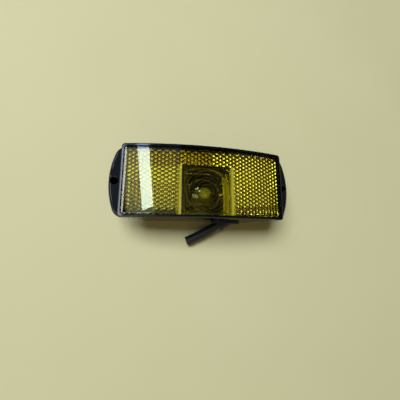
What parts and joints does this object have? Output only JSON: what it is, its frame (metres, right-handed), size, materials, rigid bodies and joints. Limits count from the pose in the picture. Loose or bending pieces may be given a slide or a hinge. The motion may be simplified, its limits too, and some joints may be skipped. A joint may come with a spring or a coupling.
{
  "type": "side marker lamp",
  "caption": "Side marker lamp with an arched amber reflex lens, a square bulb window, a black housing with screw ears and a short cable stub.",
  "frame": {"origin": "centre of the flat back face, on which the lamp lies", "axes": "+X along the lamp, +Y across it towards the reflex strip, +Z out of the lens"},
  "size_m": [0.122, 0.0641, 0.0382],
  "materials": {
    "black_plastic": "moulded, fine satin",
    "amber_lens": "moulded clear amber, polished",
    "amber_reflex": "moulded clear amber, prism back",
    "black_rubber": "matt",
    "clear_glass": "clear blown glass",
    "lead_wire": "drawn wire",
    "filament": "coiled wire",
    "socket_plastic": "moulded, dark grey",
    "contact_brass": "stamped",
    "supply_insulation": "extruded",
    "earth_insulation": "extruded",
    "cable_sheath": "extruded, satin",
    "tie_plastic": "moulded, natural colour"
  },
  "bodies": {
    "root": {"housing": "black_plastic", "lens": "amber_lens", "reflex_left": "amber_reflex", "reflex_right": "amber_reflex", "reflex_top": "amber_reflex", "lens_seal": "black_rubber", "bulb_glass": "clear_glass", "bulb_leads": "lead_wire", "bulb_filament": "filament", "bulb_socket": "socket_plastic", "contact_supply": "contact_brass", "contact_earth": "contact_brass", "terminal_supply": "contact_brass", "terminal_earth": "contact_brass", "core_supply": "supply_insulation", "core_earth": "earth_insulation", "cable_sheath": "cable_sheath", "cable_grommet": "black_rubber", "cable_tie": "tie_plastic"}
  },
  "joints": []
}
